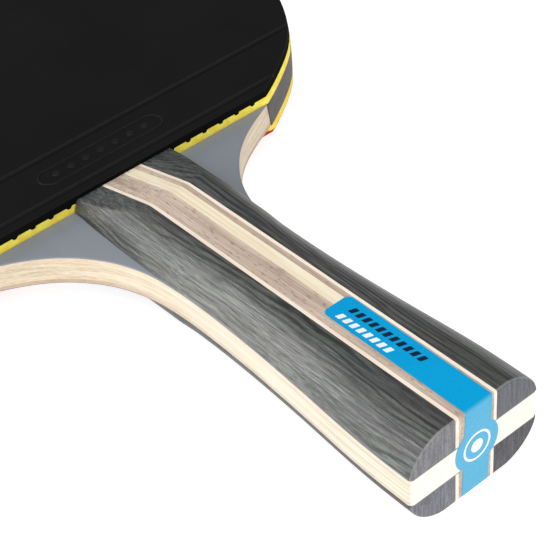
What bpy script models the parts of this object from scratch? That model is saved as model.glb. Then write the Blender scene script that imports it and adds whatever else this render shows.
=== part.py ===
# Table tennis paddle with a flared handle.
#
# Construction: a five-ply blade (core, two inner plies, two dyed face plies)
# runs through to the butt.  Each side of the head carries a sponge and a
# rubber topsheet, with an edge tape around the plies.  The handle is two
# scales glued on the blade, and each scale is glued from nine strips.
# A printed label lies on the upper scale and folds down over the butt.
#
# Frame: +Z is the black side, +Y runs from the butt to the tip of the head,
# +X is to the right when the black side is up.  The origin is at the middle
# of the bounding box in X and Y, on the plane of the handle's underside.

import bpy
import bmesh
import math

MM = 0.001

# ---------------------------------------------------------------- dimensions
HANDLE_LENGTH = 100.0      # butt to the straight edge of the rubber
HEAD_LENGTH = 157.0        # straight edge of the rubber to the tip
HEAD_HALF_WIDTH = 75.0
HEAD_WIDEST_Y = 179.0      # distance of the widest section from the butt

CORE_HALF = 2.25           # half thickness of the core ply
INNER_PLY = 0.80
FACE_PLY = 0.22
GLUE = 0.02                # glue line between two plies or strips
SPONGE = 2.05
TOPSHEET = 1.80
TAPE = 0.25                # edge tape thickness

HANDLE_HALF = 10.4         # blade's middle plane to the handle's flat top
SIDE_HEIGHT = 3.0          # height where a scale's side starts to round over
FLANK_POWER = 1.75         # exponent of the rounded flank
BEVEL_START = 83.3         # where the scale starts to slope to the rubber
BEVEL_END = 99.8
BEVEL_END_HEIGHT = 6.3
BUTT_ROUND = 0.45          # small round over on the butt's edges

LABEL_LEFT = -2.60
LABEL_RIGHT = 4.00
LABEL_FAR = 36.1           # how far the label runs up the handle
LABEL_THICK = 0.15
LABEL_DRIFT = -0.80        # sideways run of the label from the top of the butt to its foot
MEDALLION_X = 0.30
MEDALLION_Z = 0.50
MEDALLION_RADIUS = 5.3

# The glued-up strips run a little off the blade's centre line: sideways
# offset of the whole set at the butt and at the rubber.
LEAN_BUTT = 0.15
LEAN_RUBBER = -0.65

# strips of one scale, left to right: name, left side, right side, colour
UPPER_STRIPS = [
    ("veneer_left", -5.06, -4.26, (0.93, 0.74, 0.60)),
    ("mauve", -4.26, 0.56, (0.50, 0.40, 0.34)),
    ("cream_left", 0.56, 1.32, (0.90, 0.76, 0.52)),
    ("tan_line", 1.32, 1.50, (0.80, 0.64, 0.42)),
    ("cream_right", 1.50, 3.18, (0.90, 0.76, 0.52)),
    ("brown", 3.18, 4.36, (0.47, 0.36, 0.30)),
    ("veneer_right", 4.36, 5.06, (0.93, 0.74, 0.60)),
]
# the lower scale's set is a little narrower
LOWER_STRIPS = [
    ("veneer_left", -5.06, -4.26, (0.93, 0.74, 0.60)),
    ("mauve", -4.26, 0.20, (0.50, 0.40, 0.34)),
    ("cream_left", 0.20, 0.94, (0.90, 0.76, 0.52)),
    ("tan_line", 0.94, 1.12, (0.80, 0.64, 0.42)),
    ("cream_right", 1.12, 2.70, (0.90, 0.76, 0.52)),
    ("brown", 2.70, 3.70, (0.47, 0.36, 0.30)),
    ("veneer_right", 3.70, 4.50, (0.93, 0.74, 0.60)),
]

# half width of the blade at stations along its length, in design numbers:
# flared butt, waist, hollow shoulder, straight side of the head
BLADE_STATIONS = [
    (15.7, 0.0), (15.7, 6.0), (15.55, 12.0), (15.15, 18.5), (14.6, 25.0),
    (14.1, 31.5), (13.7, 38.0), (13.35, 44.0), (13.15, 50.0), (13.0, 56.0),
    (13.0, 61.0), (13.15, 66.0), (13.7, 72.2), (15.0, 77.5), (17.0, 82.5),
    (20.0, 87.1), (24.0, 91.6), (29.0, 95.2), (34.0, 97.8), (39.5, 100.3),
    (44.8, 103.55), (50.0, 107.0), (55.3, 111.0), (60.5, 116.9),
    (66.4, 127.3), (70.3, 137.4), (72.85, 147.5), (74.35, 157.8), (75.0, 168.5),
]

# half width of the glued-on scales where they leave the blade's outline
SCALE_NECK = [(62.0, 13.0), (70.0, 13.4), (80.0, 13.55), (90.0, 13.4), (100.0, 13.0)]

# The rubbers are trimmed with a leaning knife.  Each level gives the distance
# from the blade's outline and where the straight front edge lies.
TRIM_UPPER = [(0.27, 100.0), (0.05, 100.0), (-0.15, 100.0)]
TRIM_LOWER = [(0.27, 100.9), (0.20, 101.5), (-0.75, 102.7)]
TAPE_END_UPPER = 100.05    # where the tape starts at the upper face ...
TAPE_END_LOWER = 100.7     # ... and at the lower one

FACE_Z = CORE_HALF + GLUE + INNER_PLY + GLUE + FACE_PLY
SPONGE_Z = FACE_Z + GLUE
TOPSHEET_Z = SPONGE_Z + SPONGE + GLUE
RUBBER_TOP = TOPSHEET_Z + TOPSHEET
LABEL_PROUD = LABEL_THICK + 2 * GLUE

LENGTH_MIN = -LABEL_PROUD
LENGTH_MAX = HANDLE_LENGTH + HEAD_LENGTH + GLUE + TAPE
Y_CENTRE = 0.5 * (LENGTH_MIN + LENGTH_MAX)


def world(x, y, z):
    """Design coordinates in mm (from the butt and the middle plane) to metres."""
    return (x * MM, (y - Y_CENTRE) * MM, (z + HANDLE_HALF) * MM)


# ---------------------------------------------------------------- curves
def b_spline(points, per_span):
    """Uniform cubic B-spline that starts and ends on the end points."""
    first = (2 * points[0][0] - points[1][0], 2 * points[0][1] - points[1][1])
    last = (-points[-2][0], points[-2][1])
    pts = [first] + list(points) + [last]
    out = []
    for i in range(len(pts) - 3):
        p0, p1, p2, p3 = pts[i:i + 4]
        for k in range(per_span):
            t = k / per_span
            b0 = (1 - t) ** 3 / 6
            b1 = (3 * t ** 3 - 6 * t ** 2 + 4) / 6
            b2 = (-3 * t ** 3 + 3 * t ** 2 + 3 * t + 1) / 6
            b3 = t ** 3 / 6
            out.append((b0 * p0[0] + b1 * p1[0] + b2 * p2[0] + b3 * p3[0],
                        b0 * p0[1] + b1 * p1[1] + b2 * p2[1] + b3 * p3[1]))
    out.append(points[-1])
    return out


def blade_half_outline():
    """Right half of the blade, dense, from the butt's corner to the tip."""
    points = list(BLADE_STATIONS)
    top = HANDLE_LENGTH + HEAD_LENGTH - HEAD_WIDEST_Y
    steps = 12
    for k in range(0, steps + 1):
        a = math.radians(90.0 * k / steps)
        points.append((HEAD_HALF_WIDTH * math.cos(a), HEAD_WIDEST_Y + top * math.sin(a)))
    points[-1] = (0.0, HANDLE_LENGTH + HEAD_LENGTH)
    return b_spline(points, 12)


def resample(line, step_at):
    """Walk a dense line and keep points about step_at(point) apart."""
    out = [line[0]]
    run = 0.0
    for a, b in zip(line, line[1:]):
        run += math.dist(a, b)
        if run >= step_at(b):
            out.append(b)
            run = 0.0
    if math.dist(out[-1], line[-1]) < 0.5 * step_at(line[-1]) and len(out) > 1:
        out.pop()
    out.append(line[-1])
    return out


def offset(line, distance):
    """Move a line outward (to its right when walking from butt to tip)."""
    out = []
    for i, p in enumerate(line):
        a = line[max(i - 1, 0)]
        b = line[min(i + 1, len(line) - 1)]
        dx, dy = b[0] - a[0], b[1] - a[1]
        n = math.hypot(dx, dy)
        out.append((p[0] + distance * dy / n, p[1] - distance * dx / n))
    return out


DENSE = blade_half_outline()
DENSE = [(x, min(y, HANDLE_LENGTH + HEAD_LENGTH)) for x, y in DENSE]


def step_rule(p):
    if p[1] < 60.0:
        return 6.0
    if p[1] < 116.0:
        return 2.2
    return 5.5


def mirror_close(half):
    """Full outline from a right half that ends on the centre line."""
    left = [(-x, y) for x, y in reversed(half) if x > 1e-6]
    return list(half) + left


def half_from(y_start, distance):
    """Right half above y_start, moved outward, with an exact first point.

    It keeps the blade's own points, so that every edge stays parallel to it."""
    line = offset(resample(DENSE, step_rule), distance)
    line[-1] = (0.0, HANDLE_LENGTH + HEAD_LENGTH + distance)
    kept = []
    for a, b in zip(line, line[1:]):
        if a[1] < y_start <= b[1] and not kept:
            t = (y_start - a[1]) / (b[1] - a[1])
            kept.append((a[0] + t * (b[0] - a[0]), y_start))
        if b[1] > y_start and kept and math.dist(kept[-1], b) > 0.2:
            kept.append(b)
    return kept


def fractions(line):
    run, out = 0.0, [0.0]
    for a, b in zip(line, line[1:]):
        run += math.dist(a, b)
        out.append(run)
    return [r / run for r in out]


def spread(line, shares):
    """Points on a line at the given shares of its length."""
    own = fractions(line)
    out, i = [], 0
    for s in shares:
        while i < len(own) - 2 and own[i + 1] < s:
            i += 1
        t = (s - own[i]) / (own[i + 1] - own[i])
        a, b = line[i], line[i + 1]
        out.append((a[0] + t * (b[0] - a[0]), a[1] + t * (b[1] - a[1])))
    out[0], out[-1] = line[0], line[-1]
    return out


def slide_end(line, y):
    """The same line with its first point moved along it to y."""
    a, b = line[0], line[1]
    t = (y - a[1]) / (b[1] - a[1])
    assert 0.0 <= t < 0.8
    return [(a[0] + t * (b[0] - a[0]), y)] + line[1:]


def blade_outline():
    half = resample(DENSE, step_rule)
    w, r = half[0][0], 0.9
    corner = []
    for k in range(4):
        a = math.radians(-90.0 + 30.0 * k)
        corner.append((w - r + r * math.cos(a), r + r * math.sin(a)))
    return mirror_close(corner + half[1:])


def interpolate(table, y):
    if y <= table[0][0]:
        return table[0][1]
    for (y0, v0), (y1, v1) in zip(table, table[1:]):
        if y <= y1:
            t = (y - y0) / (y1 - y0)
            t = t * t * (3 - 2 * t)
            return v0 + (v1 - v0) * t
    return table[-1][1]


def blade_half_width(y):
    for (x0, y0), (x1, y1) in zip(DENSE, DENSE[1:]):
        if y0 <= y <= y1:
            return x0 + (x1 - x0) * (y - y0) / (y1 - y0)
    return DENSE[0][0]


def scale_half_width(y):
    """The scale follows the blade on the grip, and its own line at the neck."""
    if y <= 56.0:
        return blade_half_width(y)
    neck = interpolate(SCALE_NECK, y)
    if y >= 66.0:
        return neck
    t = (y - 56.0) / 10.0
    return blade_half_width(y) * (1 - t) + neck * t


def lean(y):
    """Sideways offset of the strips at distance y from the butt."""
    return LEAN_BUTT + (LEAN_RUBBER - LEAN_BUTT) * y / HANDLE_LENGTH


def flank_run(y):
    """Width over which the flank rounds from the flat top to the side."""
    return 8.1 - 0.018 * y


# ---------------------------------------------------------------- building
def material(name, colour, roughness, metallic=0.0):
    mat = bpy.data.materials.new(name)
    mat.use_nodes = True
    bsdf = mat.node_tree.nodes["Principled BSDF"]
    bsdf.inputs["Base Color"].default_value = (*colour, 1.0)
    bsdf.inputs["Roughness"].default_value = roughness
    bsdf.inputs["Metallic"].default_value = metallic
    mat.diffuse_color = (*colour, 1.0)
    return mat


def finish(name, bm, mat, parent, smooth=True):
    bmesh.ops.recalc_face_normals(bm, faces=bm.faces[:])
    mesh = bpy.data.meshes.new(name)
    bm.to_mesh(mesh)
    bm.free()
    mesh.materials.append(mat)
    if smooth:
        mesh.shade_smooth()
        mesh.set_sharp_from_angle(angle=math.radians(35))
    obj = bpy.data.objects.new(name, mesh)
    bpy.context.collection.objects.link(obj)
    obj.parent = parent
    return obj


def plate(name, outline, z0, z1, mat, parent):
    """A flat sheet: the outline as a face, extruded through its thickness."""
    bm = bmesh.new()
    face = bm.faces.new([bm.verts.new(world(x, y, z0)) for x, y in outline])
    out = bmesh.ops.extrude_face_region(bm, geom=[face])
    moved = [e for e in out["geom"] if isinstance(e, bmesh.types.BMVert)]
    bmesh.ops.translate(bm, verts=moved, vec=(0, 0, (z1 - z0) * MM))
    return finish(name, bm, mat, parent)


def trimmed_sheet(name, trims, z0, z1, mat, parent):
    """A sheet of rubber or sponge whose cut sides run from one trim (distance
    from the outline, front edge) at z0 to another at z1."""
    shares = fractions(half_from(HANDLE_LENGTH, GLUE + TAPE))
    bm = bmesh.new()
    sections = []
    for (distance, front), z in zip(trims, (z0, z1)):
        ring = mirror_close(spread(half_from(front, distance), shares))
        sections.append([world(x, y, z) for x, y in ring])
    loft(bm, sections)
    return finish(name, bm, mat, parent)


def ribbon(name, lower, upper, z0, z1, mat, parent):
    """A band round the plies.  lower and upper are pairs of lines (inner and
    outer) of equal count, for its two edges."""
    bm = bmesh.new()
    rows = []
    for (inner, outer), z in ((lower, z0), (upper, z1)):
        rows.append([bm.verts.new(world(x, y, z)) for x, y in inner])
        rows.append([bm.verts.new(world(x, y, z)) for x, y in outer])
    bottom_in, bottom_out, top_in, top_out = rows
    n = len(bottom_in)
    for i in range(n - 1):
        j = i + 1
        bm.faces.new((bottom_in[i], bottom_in[j], bottom_out[j], bottom_out[i]))
        bm.faces.new((top_in[i], top_out[i], top_out[j], top_in[j]))
        bm.faces.new((bottom_out[i], bottom_out[j], top_out[j], top_out[i]))
        bm.faces.new((bottom_in[i], top_in[i], top_in[j], bottom_in[j]))
    for i in (0, n - 1):
        bm.faces.new((bottom_in[i], bottom_out[i], top_out[i], top_in[i]))
    return finish(name, bm, mat, parent)


def loft(bm, sections):
    """Skin closed sections of equal count and cap both ends."""
    rings = [[bm.verts.new(p) for p in s] for s in sections]
    n = len(rings[0])
    for a, b in zip(rings, rings[1:]):
        for i in range(n):
            j = (i + 1) % n
            bm.faces.new((a[i], a[j], b[j], b[i]))
    bm.faces.new(rings[0])
    bm.faces.new(list(reversed(rings[-1])))


def cut_bevel(bm, side):
    """Slice off the slope that runs down to the rubber, and close the cut."""
    x, y, z = world(0.0, BEVEL_START, side * HANDLE_HALF)
    run = (BEVEL_END - BEVEL_START)
    drop = (HANDLE_HALF - BEVEL_END_HEIGHT)
    normal = (0.0, drop, side * run)
    geom = bm.verts[:] + bm.edges[:] + bm.faces[:]
    cut = bmesh.ops.bisect_plane(bm, geom=geom, dist=1e-7, plane_co=(x, y, z),
                                 plane_no=normal, clear_outer=True)
    rim = [e for e in cut["geom_cut"] if isinstance(e, bmesh.types.BMEdge)]
    bmesh.ops.holes_fill(bm, edges=rim, sides=0)
    bmesh.ops.dissolve_degenerate(bm, edges=bm.edges[:], dist=1e-8)


def butt_inset(y):
    """How far the round over pulls the surface in, at distance y from the butt."""
    if y >= BUTT_ROUND:
        return 0.0
    return BUTT_ROUND - math.sqrt(max(BUTT_ROUND ** 2 - (BUTT_ROUND - y) ** 2, 0.0))


GLUE_PLANE = FACE_Z + GLUE
BUTT_STATIONS = [0.0, 0.12 * BUTT_ROUND, 0.45 * BUTT_ROUND, BUTT_ROUND]


def centre_strip(name, x0, x1, side, mat, parent):
    bm = bmesh.new()
    a, b = x0 + 0.5 * GLUE, x1 - 0.5 * GLUE
    sections = []
    for y in BUTT_STATIONS + [BEVEL_END]:
        top = HANDLE_HALF - butt_inset(y)
        left, right = a + lean(y), b + lean(y)
        sections.append([world(left, y, side * GLUE_PLANE), world(right, y, side * GLUE_PLANE),
                         world(right, y, side * top), world(left, y, side * top)])
    loft(bm, sections)
    cut_bevel(bm, side)
    return finish(name, bm, mat, parent)


def outer_block(name, reach, hand, side, mat, parent):
    """The dark outer block of a scale, with the rounded flank.  reach is the
    distance of the strips' outer side from the centre line."""
    bm = bmesh.new()
    sections = []
    stations = list(BUTT_STATIONS)
    y = 4.0
    while y < BEVEL_END - 2.0:
        stations.append(y)
        y += 4.0
    stations.append(BEVEL_END)
    for y in stations:
        inner = reach + 0.5 * GLUE + hand * lean(y)
        inset = butt_inset(y)
        w = scale_half_width(y) - inset
        top = HANDLE_HALF - inset
        run = flank_run(y)
        crown = w - run
        rise = top - SIDE_HEIGHT
        profile = [(inner, GLUE_PLANE)]
        low = (GLUE_PLANE - SIDE_HEIGHT) / rise
        start = math.asin(min(low ** (FLANK_POWER / 2), 1.0))
        count = 10
        for k in range(count + 1):
            a = start + (0.5 * math.pi - start) * k / count
            u = math.cos(a) ** (2 / FLANK_POWER) if k < count else 0.0
            v = math.sin(a) ** (2 / FLANK_POWER)
            profile.append((crown + run * u, SIDE_HEIGHT + rise * v))
        profile.append((inner, top))
        sections.append([world(hand * px, y, side * pz) for px, pz in profile])
    loft(bm, sections)
    cut_bevel(bm, side)
    return finish(name, bm, mat, parent)


def label(mat, parent):
    """Strip on the flat top, round the butt's edge and down the butt, with a
    round medallion in the middle of the butt."""
    def path(lift):
        r = BUTT_ROUND + lift
        pts = [(LABEL_FAR, HANDLE_HALF + lift)]
        for k in range(5):
            a = math.radians(90.0 + 22.5 * k)
            pts.append((BUTT_ROUND + r * math.cos(a), HANDLE_HALF - BUTT_ROUND + r * math.sin(a)))
        pts.append((-lift, -HANDLE_HALF + BUTT_ROUND))
        return pts
    bm = bmesh.new()
    sections = []
    under, over = path(GLUE), path(GLUE + LABEL_THICK)
    for k, ((y0, z0), (y1, z1)) in enumerate(zip(under, over)):
        drift = LABEL_DRIFT if k == len(under) - 1 else 0.0
        left, right = LABEL_LEFT + drift, LABEL_RIGHT + drift
        sections.append([world(left, y0, z0), world(right, y0, z0),
                         world(right, y1, z1), world(left, y1, z1)])
    loft(bm, sections)
    strip = finish("handle_label", bm, mat, parent)

    bm = bmesh.new()
    count = 40
    disc = []
    for k in range(count):
        a = 2 * math.pi * (k + 0.37) / count
        disc.append(bm.verts.new(world(MEDALLION_X + MEDALLION_RADIUS * math.cos(a),
                                       -1.5 * GLUE,
                                       MEDALLION_Z + MEDALLION_RADIUS * math.sin(a))))
    face = bm.faces.new(disc)
    out = bmesh.ops.extrude_face_region(bm, geom=[face])
    moved = [e for e in out["geom"] if isinstance(e, bmesh.types.BMVert)]
    bmesh.ops.translate(bm, verts=moved, vec=(0, -(LABEL_PROUD - 1.5 * GLUE) * MM, 0))
    guide = finish("medallion_guide", bm, mat, parent)
    guide.hide_render = True
    guide.display_type = 'WIRE'
    union = strip.modifiers.new("medallion", 'BOOLEAN')
    union.operation = 'UNION'
    union.solver = 'EXACT'
    union.object = guide
    return strip


def build():
    for obj in list(bpy.data.objects):
        bpy.data.objects.remove(obj, do_unlink=True)

    paddle = bpy.data.objects.new("paddle", None)
    bpy.context.collection.objects.link(paddle)

    core_wood = material("core_wood", (0.93, 0.84, 0.66), 0.55)
    ply_wood = material("ply_wood", (0.90, 0.74, 0.55), 0.55)
    face_wood = material("face_wood_grey", (0.24, 0.27, 0.31), 0.5)
    dark_wood = material("dyed_wood_dark", (0.07, 0.075, 0.08), 0.5)
    black_rubber = material("rubber_black", (0.012, 0.012, 0.012), 0.45)
    red_rubber = material("rubber_red", (0.55, 0.03, 0.03), 0.45)
    sponge_yellow = material("sponge_yellow", (0.95, 0.75, 0.10), 0.9)
    tape_grey = material("edge_tape_grey", (0.10, 0.09, 0.11), 0.6)
    label_blue = material("label_blue", (0.0, 0.35, 0.72), 0.35)

    # blade: five plies
    outline = blade_outline()
    plate("blade_core_ply", outline, -CORE_HALF, CORE_HALF, core_wood, paddle)
    a = CORE_HALF + GLUE
    b = a + INNER_PLY
    plate("blade_inner_ply_upper", outline, a, b, ply_wood, paddle)
    plate("blade_inner_ply_lower", outline, -b, -a, ply_wood, paddle)
    a = b + GLUE
    plate("blade_face_ply_upper", outline, a, a + FACE_PLY, face_wood, paddle)
    plate("blade_face_ply_lower", outline, -a - FACE_PLY, -a, face_wood, paddle)

    # edge tape around the plies of the head
    edges = []
    for y in (TAPE_END_LOWER, TAPE_END_UPPER):
        inner = slide_end(half_from(TAPE_END_UPPER, GLUE), y)
        outer = offset(inner, TAPE)
        outer[-1] = (0.0, HANDLE_LENGTH + HEAD_LENGTH + GLUE + TAPE)
        edges.append((mirror_close(inner), mirror_close(outer)))
    ribbon("edge_tape", edges[0], edges[1], -FACE_Z, FACE_Z, tape_grey, paddle)

    # sponges and topsheets
    a, b, c = TRIM_UPPER
    trimmed_sheet("sponge_upper", (a, b), SPONGE_Z, SPONGE_Z + SPONGE, sponge_yellow, paddle)
    trimmed_sheet("topsheet_black", (b, c), TOPSHEET_Z, RUBBER_TOP, black_rubber, paddle)
    a, b, c = TRIM_LOWER
    trimmed_sheet("sponge_lower", (a, b), -SPONGE_Z, -SPONGE_Z - SPONGE, sponge_yellow, paddle)
    trimmed_sheet("topsheet_red", (b, c), -TOPSHEET_Z, -RUBBER_TOP, red_rubber, paddle)

    # handle scales
    for place, side, strips in (("upper", 1.0, UPPER_STRIPS), ("lower", -1.0, LOWER_STRIPS)):
        prefix = "scale_" + place + "_"
        outer_block(prefix + "dark_left", -strips[0][1], -1.0, side, dark_wood, paddle)
        for name, x0, x1, colour in strips:
            mat = bpy.data.materials.get("strip_" + name)
            if mat is None:
                mat = material("strip_" + name, colour, 0.5)
            centre_strip(prefix + name, x0, x1, side, mat, paddle)
        outer_block(prefix + "dark_right", strips[-1][2], 1.0, side, dark_wood, paddle)

    label(label_blue, paddle)


build()
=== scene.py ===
# Looks of a table tennis paddle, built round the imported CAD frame.
#
# Sizes are in millimetres in the design frame: x to the right with the black
# side up, y from the butt to the tip, z from the blade's middle plane.  W()
# turns them into the row frame in metres, with its offsets read from the
# CAD nodes' boxes.

import math
import random

import bpy
import bmesh
from mathutils import Matrix, Vector, noise


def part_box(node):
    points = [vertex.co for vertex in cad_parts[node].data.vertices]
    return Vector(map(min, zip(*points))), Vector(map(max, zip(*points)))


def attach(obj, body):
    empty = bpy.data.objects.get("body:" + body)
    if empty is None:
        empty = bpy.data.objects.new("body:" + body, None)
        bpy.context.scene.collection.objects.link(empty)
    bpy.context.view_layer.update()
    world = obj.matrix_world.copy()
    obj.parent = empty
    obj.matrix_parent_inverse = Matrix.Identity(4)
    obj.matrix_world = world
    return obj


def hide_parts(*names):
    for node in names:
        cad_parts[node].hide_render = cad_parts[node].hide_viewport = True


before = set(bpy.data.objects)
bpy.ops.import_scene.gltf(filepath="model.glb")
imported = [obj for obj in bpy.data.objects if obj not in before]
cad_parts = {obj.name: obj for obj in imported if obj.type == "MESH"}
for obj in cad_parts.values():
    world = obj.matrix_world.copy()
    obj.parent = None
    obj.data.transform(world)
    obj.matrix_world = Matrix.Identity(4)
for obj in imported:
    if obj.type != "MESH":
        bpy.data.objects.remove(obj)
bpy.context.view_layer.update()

# ------------------------------------------------------------------ the frame
MM = 0.001


def node_box(name):
    lo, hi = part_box(name)
    return lo / MM, hi / MM


core_lo, core_hi = node_box("blade_core_ply")
inner_lo, inner_hi = node_box("blade_inner_ply_upper")
face_lo, face_hi = node_box("blade_face_ply_upper")
sponge_lo, sponge_hi = node_box("sponge_upper")
top_lo, top_hi = node_box("topsheet_black")
scale_lo, scale_hi = node_box("scale_upper_mauve")
tape_lo, tape_hi = node_box("edge_tape")

Y0 = core_lo.y                           # row-frame y of the butt
Z0 = 0.5 * (core_lo.z + core_hi.z)       # row-frame z of the middle plane

CORE_HALF = core_hi.z - Z0
INNER_Z0, INNER_Z1 = inner_lo.z - Z0, inner_hi.z - Z0
FACE_Z0, FACE_Z1 = face_lo.z - Z0, face_hi.z - Z0
SPONGE_Z0, SPONGE_Z1 = sponge_lo.z - Z0, sponge_hi.z - Z0
SHEET_Z0, SHEET_Z1 = top_lo.z - Z0, top_hi.z - Z0
GLUE_PLANE = scale_lo.z - Z0
HANDLE_HALF = scale_hi.z - Z0
BEVEL_END = scale_hi.y - Y0
HANDLE_LENGTH = sponge_lo.y - Y0
TAPE_OUT = (tape_hi.y - Y0) - (core_hi.y - Y0)
TAPE_START = tape_lo.y - Y0
BLADE_LENGTH = core_hi.y - Y0
HALF_WIDTH = core_hi.x

BEVEL_START = 83.3
BEVEL_END_HEIGHT = 6.3
SIDE_HEIGHT = 3.0
FLANK_POWER = 1.75
BUTT_ROUND = 0.45
GLUE = 0.02

# The rubbers are trimmed with a leaning knife: distance from the blade's
# outline and the front edge, at the glue side, between the two layers and at
# the playing face.
TRIM_UPPER = [(0.27, 100.0), (0.05, 100.0), (-0.15, 100.0)]
TRIM_LOWER = [(0.27, 100.9), (0.20, 101.5), (-0.75, 102.7)]
TAPE_END_UPPER, TAPE_END_LOWER = 100.05, 100.7


def W(x, y, z):
    return ((x) * MM, (y + Y0) * MM, (z + Z0) * MM)


# ------------------------------------------------------------------ outlines
BLADE_STATIONS = [
    (15.7, 0.0), (15.7, 6.0), (15.55, 12.0), (15.15, 18.5), (14.6, 25.0),
    (14.1, 31.5), (13.7, 38.0), (13.35, 44.0), (13.15, 50.0), (13.0, 56.0),
    (13.0, 61.0), (13.15, 66.0), (13.7, 72.2), (15.0, 77.5), (17.0, 82.5),
    (20.0, 87.1), (24.0, 91.6), (29.0, 95.2), (34.0, 97.8), (39.5, 100.3),
    (44.8, 103.55), (50.0, 107.0), (55.3, 111.0), (60.5, 116.9),
    (66.4, 127.3), (70.3, 137.4), (72.85, 147.5), (74.35, 157.8), (75.0, 168.5),
]
SCALE_NECK = [(62.0, 13.0), (70.0, 13.4), (80.0, 13.55), (90.0, 13.4), (100.0, 13.0)]
WIDEST_Y = 179.0


def b_spline(points, per_span):
    first = (2 * points[0][0] - points[1][0], 2 * points[0][1] - points[1][1])
    last = (-points[-2][0], points[-2][1])
    pts = [first] + list(points) + [last]
    out = []
    for i in range(len(pts) - 3):
        p0, p1, p2, p3 = pts[i:i + 4]
        for k in range(per_span):
            t = k / per_span
            b0 = (1 - t) ** 3 / 6
            b1 = (3 * t ** 3 - 6 * t ** 2 + 4) / 6
            b2 = (-3 * t ** 3 + 3 * t ** 2 + 3 * t + 1) / 6
            b3 = t ** 3 / 6
            out.append((b0 * p0[0] + b1 * p1[0] + b2 * p2[0] + b3 * p3[0],
                        b0 * p0[1] + b1 * p1[1] + b2 * p2[1] + b3 * p3[1]))
    out.append(points[-1])
    return out


def dense_half():
    points = list(BLADE_STATIONS)
    top = BLADE_LENGTH - WIDEST_Y
    for k in range(13):
        a = math.radians(7.5 * k)
        points.append((75.0 * math.cos(a), WIDEST_Y + top * math.sin(a)))
    points[-1] = (0.0, BLADE_LENGTH)
    return [(x, min(y, BLADE_LENGTH)) for x, y in b_spline(points, 30)]


DENSE = dense_half()


def resample(line, step_at):
    out = [line[0]]
    run = 0.0
    for a, b in zip(line, line[1:]):
        run += math.dist(a, b)
        if run >= step_at(b):
            out.append(b)
            run = 0.0
    if math.dist(out[-1], line[-1]) < 0.5 * step_at(line[-1]) and len(out) > 1:
        out.pop()
    out.append(line[-1])
    return out


def offset(line, distance):
    """distance is a number, or a function of y; positive is outward."""
    out = []
    for i, p in enumerate(line):
        a = line[max(i - 1, 0)]
        b = line[min(i + 1, len(line) - 1)]
        dx, dy = b[0] - a[0], b[1] - a[1]
        n = math.hypot(dx, dy)
        d = distance(p[1]) if callable(distance) else distance
        out.append((p[0] + d * dy / n, p[1] - d * dx / n))
    last = line[-1]
    d = distance(last[1]) if callable(distance) else distance
    if abs(last[0]) < 1e-6:
        out[-1] = (0.0, last[1] + d)
    return out


def mirror_close(half):
    return list(half) + [(-x, y) for x, y in reversed(half) if x > 1e-6]


def half_above(y_start, distance, step):
    line = offset(resample(DENSE, lambda p: step), distance)
    kept = []
    for a, b in zip(line, line[1:]):
        if a[1] < y_start <= b[1] and not kept:
            t = (y_start - a[1]) / (b[1] - a[1])
            kept.append((a[0] + t * (b[0] - a[0]), y_start))
        if b[1] > y_start and kept and math.dist(kept[-1], b) > 0.2 * step:
            kept.append(b)
    return kept


def fractions(line):
    run, out = 0.0, [0.0]
    for a, b in zip(line, line[1:]):
        run += math.dist(a, b)
        out.append(run)
    return [r / run for r in out]


def spread(line, shares):
    """Points on a line at the given shares of its length."""
    own = fractions(line)
    out, i = [], 0
    for s in shares:
        while i < len(own) - 2 and own[i + 1] < s:
            i += 1
        t = (s - own[i]) / (own[i + 1] - own[i])
        a, b = line[i], line[i + 1]
        out.append((a[0] + t * (b[0] - a[0]), a[1] + t * (b[1] - a[1])))
    out[0], out[-1] = line[0], line[-1]
    return out


def half_width(y):
    """The blade's half width at y, up to the widest point."""
    for (x0, y0), (x1, y1) in zip(DENSE, DENSE[1:]):
        if y0 <= y <= y1:
            return x0 + (x1 - x0) * (y - y0) / (y1 - y0)
    return DENSE[0][0]


def interpolate(table, y):
    if y <= table[0][0]:
        return table[0][1]
    for (y0, v0), (y1, v1) in zip(table, table[1:]):
        if y <= y1:
            t = (y - y0) / (y1 - y0)
            t = t * t * (3 - 2 * t)
            return v0 + (v1 - v0) * t
    return table[-1][1]


def scale_half_width(y):
    if y <= 56.0:
        return half_width(y)
    neck = interpolate(SCALE_NECK, y)
    if y >= 66.0:
        return neck
    t = (y - 56.0) / 10.0
    return half_width(y) * (1 - t) + neck * t


def lean(y):
    """The glued-up strips run a little off the centre line, as in the CAD."""
    return 0.15 - 0.80 * y / 100.0


def smooth_step(a, b, v):
    t = min(max((v - a) / (b - a), 0.0), 1.0)
    return t * t * (3 - 2 * t)


def soft_min(a, b, k):
    h = min(max(0.5 + 0.5 * (b - a) / k, 0.0), 1.0)
    return b * (1 - h) + a * h - k * h * (1 - h)


# ------------------------------------------------------------------ mesh tools
def new_object(name, bm, mat, replaces=(), angle=32, smooth=True):
    bmesh.ops.recalc_face_normals(bm, faces=bm.faces[:])
    mesh = bpy.data.meshes.new(name)
    bm.to_mesh(mesh)
    bm.free()
    mesh.materials.append(mat)
    if smooth:
        mesh.shade_smooth()
        mesh.set_sharp_from_angle(angle=math.radians(angle))
    obj = bpy.data.objects.new(name, mesh)
    bpy.context.scene.collection.objects.link(obj)
    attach(obj, "root")
    if replaces:
        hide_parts(*replaces)
    return obj


def stack(bm, rings, cap=True):
    """Skin closed rings of equal count, lowest first, and cap both ends."""
    rows = [[bm.verts.new(W(*p)) for p in r] for r in rings]
    n = len(rows[0])
    for a, b in zip(rows, rows[1:]):
        for i in range(n):
            j = (i + 1) % n
            bm.faces.new((a[i], a[j], b[j], b[i]))
    if cap:
        bm.faces.new(list(reversed(rows[0])))
        bm.faces.new(rows[-1])
    return rows


def wander(seed, x, y, z, scale):
    return noise.noise(Vector((x * scale + seed * 7.31, y * scale - seed * 3.17, z * scale + seed)))


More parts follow.
